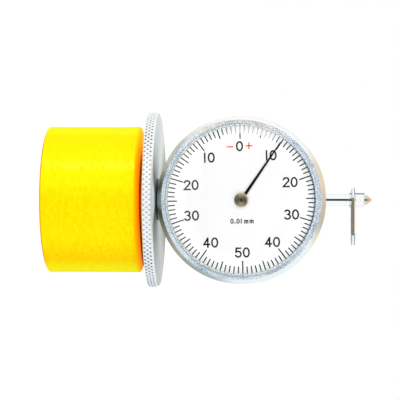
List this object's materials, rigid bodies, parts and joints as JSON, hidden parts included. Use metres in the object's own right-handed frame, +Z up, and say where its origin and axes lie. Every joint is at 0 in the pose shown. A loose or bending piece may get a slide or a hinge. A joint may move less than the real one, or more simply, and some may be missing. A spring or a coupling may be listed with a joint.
{
  "type": "crankshaft deflection gauge",
  "caption": "Dial gauge on a magnetic cylinder with a knurled lock disc, a sprung conical plunger and a finger lever, for measuring crank web deflection",
  "frame": {"origin": "centre of the magnet's flat face, which the gauge stands on", "axes": "+Z up along the spindle towards the contact point, dial facing -Y with its 12 o'clock towards -X, finger lever pointing to +X"},
  "size_m": [0.06, 0.06, 0.1103],
  "materials": {
    "yellow_paint": "satin yellow enamel over a steel pot",
    "ferrite": "dull dark grey sintered ferrite",
    "pole_steel": "ground steel pole",
    "brass": "machined brass",
    "turned_steel": "turned bright steel",
    "black_steel": "blackened steel",
    "knurled_aluminium": "diamond-knurled rim, turned satin faces",
    "case_aluminium": "satin turned case",
    "bezel_aluminium": "satin chrome-plated bezel",
    "black_rubber": "thin black gasket",
    "polished_steel": "polished bright steel",
    "plated_steel": "bright plated pressed steel",
    "hardened_steel": "hardened, lightly straw-tempered point",
    "spring_steel": "drawn spring steel",
    "clear_crystal": "clear flat crystal",
    "dial_white": "white enamel dial with printed scale",
    "black_hand": "matt black hand",
    "hub_bronze": "dark turned bronze hub"
  },
  "bodies": {
    "magnet_base": {"magnet_pot": "yellow_paint", "ring_magnet": "ferrite", "pole_core": "pole_steel", "pole_face_ring": "brass", "swivel_stud": "turned_steel", "friction_washer": "brass", "stud_washer": "turned_steel", "stud_screw": "black_steel"},
    "lock_disc": {"lock_disc": "knurled_aluminium"},
    "gauge_head": {"swivel_hub": "turned_steel", "hub_nut": "black_steel", "gauge_case": "case_aluminium", "case_gasket": "black_rubber", "back_cover": "case_aluminium", "back_cover_screws": "polished_steel", "movement_screws": "polished_steel", "spindle_bush": "turned_steel", "bezel_wire": "turned_steel", "hairspring": "spring_steel", "hairspring_stud": "brass", "movement_plate": "brass", "rear_plate": "brass", "movement_pillars": "brass", "bridge_pillars": "brass", "pillar_screws": "polished_steel", "centre_bridge": "brass", "guide_fork": "turned_steel", "tail_guide": "brass", "spring_post": "turned_steel", "return_spring": "spring_steel"},
    "bezel": {"bezel": "bezel_aluminium", "crystal": "clear_crystal", "crystal_ring": "bezel_aluminium", "dial_plate": "dial_white", "dial_snap_ring": "spring_steel"},
    "spindle": {"spindle": "polished_steel", "guide_pin": "turned_steel", "lever_washer": "polished_steel", "finger_lever": "plated_steel", "lever_nut": "polished_steel", "contact_point": "hardened_steel"},
    "rack_gear": {"rack_pinion": "turned_steel", "rack_wheel": "brass"},
    "hand_arbor": {"centre_pinion": "turned_steel", "hand": "black_hand", "hand_hub": "hub_bronze"},
    "hairspring_gear": {"hairspring_wheel": "brass", "hairspring_collet": "turned_steel"}
  },
  "joints": [
    {"name": "head_swivel", "type": "hinge", "parent": "magnet_base", "child": "gauge_head", "pos_m": [0, 0, 0.0377], "axis": [0, 0, 1], "continuous": true},
    {"name": "lock_disc_turn", "type": "hinge", "parent": "gauge_head", "child": "lock_disc", "pos_m": [0, 0, 0.03603], "axis": [0, 0, 1], "range_deg": [0, 90]},
    {"name": "bezel_turn", "type": "hinge", "parent": "gauge_head", "child": "bezel", "pos_m": [0, -0.008, 0.0662], "axis": [0, -1, 0], "continuous": true},
    {"name": "spindle_slide", "type": "slide", "parent": "gauge_head", "child": "spindle", "axis": [0, 0, -1], "range_m": [0, 0.003], "stiffness_N_per_m": 160, "springref_m": -0.005, "deforming": ["return_spring"]},
    {"name": "rack_gear_turn", "type": "hinge", "parent": "gauge_head", "child": "rack_gear", "pos_m": [0.00315, 0, 0.07668], "axis": [0, -1, 0], "range_deg": [-1, 109]},
    {"name": "hand_turn", "type": "hinge", "parent": "gauge_head", "child": "hand_arbor", "pos_m": [0, 0, 0.0662], "axis": [0, -1, 0], "range_deg": [-1085, 5]},
    {"name": "hairspring_gear_turn", "type": "hinge", "parent": "gauge_head", "child": "hairspring_gear", "pos_m": [-0.00201, 0, 0.05953], "axis": [0, -1, 0], "range_deg": [-1, 181]}
  ],
  "couplings": [
    {"joint": "rack_gear_turn", "follows": "spindle_slide", "rad_per_m": 628.32},
    {"joint": "hand_turn", "follows": "spindle_slide", "rad_per_m": -6283.2},
    {"joint": "hairspring_gear_turn", "follows": "spindle_slide", "rad_per_m": 1047.2}
  ]
}
